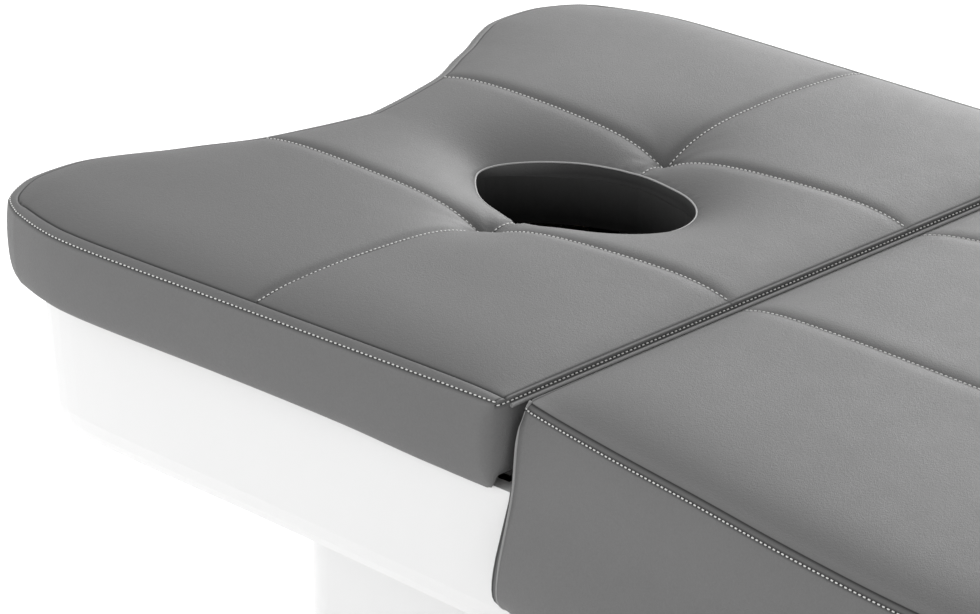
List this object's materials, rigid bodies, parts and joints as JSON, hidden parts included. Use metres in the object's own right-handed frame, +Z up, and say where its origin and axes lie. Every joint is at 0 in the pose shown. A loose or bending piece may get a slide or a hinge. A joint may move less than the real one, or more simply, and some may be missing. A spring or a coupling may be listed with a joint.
{
  "type": "shampoo bed",
  "caption": "Salon bed with a flared body cushion and a tilting, scooped head cushion with a face hole, on a white casing that telescopic columns raise inside a pedestal with foot pedals.",
  "frame": {"origin": "on the floor, under the middle of the outline's bounding box", "axes": "+X towards the foot end and -X towards the head, -Y the side with the foot pedals, +Z up"},
  "size_m": [1.9635, 0.9334, 0.6127],
  "materials": {
    "grey_leatherette": "matt, fine grain",
    "piping": "matt, fine grain",
    "foam": "open cell",
    "plywood": "sanded",
    "sleeve_lining": "matt",
    "white_casing": "satin gloss",
    "white_sheet": "satin gloss",
    "black_steel": "powder coated, satin",
    "steel_screws": "zinc plated",
    "bright_pins": "ground",
    "spring_clips": "oiled",
    "bronze_bush": "sintered",
    "grey_housing": "cast, painted",
    "black_motor": "satin",
    "column_metal": "anodised",
    "glide_plastic": "matt",
    "zinc_tray": "zinc plated",
    "black_rubber": "matt",
    "black_plastic": "fine texture",
    "grey_plastic": "fine texture",
    "pedal_metal": "cast, painted"
  },
  "bodies": {
    "base": {"base_frame": "black_steel", "column_outer_tubes": "column_metal", "column_outer_glides": "glide_plastic", "column_motors": "black_motor", "column_foot_bolts": "steel_screws", "plinth": "white_sheet", "kick_strip": "black_rubber", "levelling_feet": "black_rubber", "feet_lock_nuts": "steel_screws", "electronics_tray": "zinc_tray", "control_box": "black_plastic", "control_box_lid": "grey_plastic", "power_inlet": "black_plastic", "pedal_brackets": "black_steel", "pedal_pins": "bright_pins", "pedal_pin_caps": "black_plastic", "pedal_springs": "spring_clips"},
    "column_middles": {"column_middle_tubes": "column_metal", "column_middle_glides": "glide_plastic"},
    "carriage": {"body_cover": "grey_leatherette", "body_foam": "foam", "body_board": "plywood", "body_front_welt": "piping", "skirt_panel_left": "plywood", "skirt_panel_right": "plywood", "skirt_panel_foot": "plywood", "body_board_screws": "steel_screws", "casing": "white_casing", "casing_edge_seal": "black_rubber", "chassis": "black_steel", "hinge_bushes": "bronze_bush", "board_bearers": "black_steel", "rest_buffers": "black_rubber", "ram_tube": "grey_housing", "ram_gearbox": "grey_housing", "ram_motor": "black_motor", "ram_clamps": "black_steel", "column_inner_tubes": "column_metal", "column_top_bolts": "steel_screws", "pedestal_shroud": "white_sheet", "shroud_screws": "steel_screws"},
    "ram_slide": {"ram_rod": "bright_pins", "ram_cross_pin": "bright_pins", "ram_pin_clips": "spring_clips"},
    "head_section": {"head_cover": "grey_leatherette", "head_foam": "foam", "head_board": "plywood", "face_hole_sleeve": "sleeve_lining", "face_hole_piping": "piping", "head_rear_welt": "piping", "head_frame": "black_steel", "head_board_screws": "steel_screws", "hinge_pins": "bright_pins", "hinge_pin_clips": "spring_clips"},
    "lift_rocker": {"lift_pedal": "pedal_metal", "lift_pedal_tread": "black_rubber"},
    "head_rocker": {"head_pedal": "pedal_metal", "head_pedal_tread": "black_rubber"}
  },
  "joints": [
    {"name": "lift_upper", "type": "slide", "parent": "column_middles", "child": "carriage", "axis": [0, 0, 1], "range_m": [0, 0.125]},
    {"name": "lift_lower", "type": "slide", "parent": "base", "child": "column_middles", "axis": [0, 0, 1], "range_m": [0, 0.125]},
    {"name": "head_tilt", "type": "hinge", "parent": "carriage", "child": "head_section", "pos_m": [-0.415, 0, 0.578], "axis": [0, 1, 0], "range_deg": [0, 45]},
    {"name": "tilt_ram", "type": "slide", "parent": "carriage", "child": "ram_slide", "axis": [-1, 0, 0], "range_m": [0, 0.071]},
    {"name": "lift_pedal_rock", "type": "hinge", "parent": "base", "child": "lift_rocker", "pos_m": [-0.12, -0.3, 0.074], "axis": [0, 1, 0], "range_deg": [-6, 6], "stiffness_Nm_per_rad": 10},
    {"name": "head_pedal_rock", "type": "hinge", "parent": "base", "child": "head_rocker", "pos_m": [0.12, -0.3, 0.074], "axis": [0, 1, 0], "range_deg": [-6, 6], "stiffness_Nm_per_rad": 10}
  ],
  "couplings": [
    {"joint": "lift_lower", "follows": "lift_upper", "ratio": 1},
    {"joint": "tilt_ram", "follows": "head_tilt", "m_per_rad": 0.089657}
  ]
}
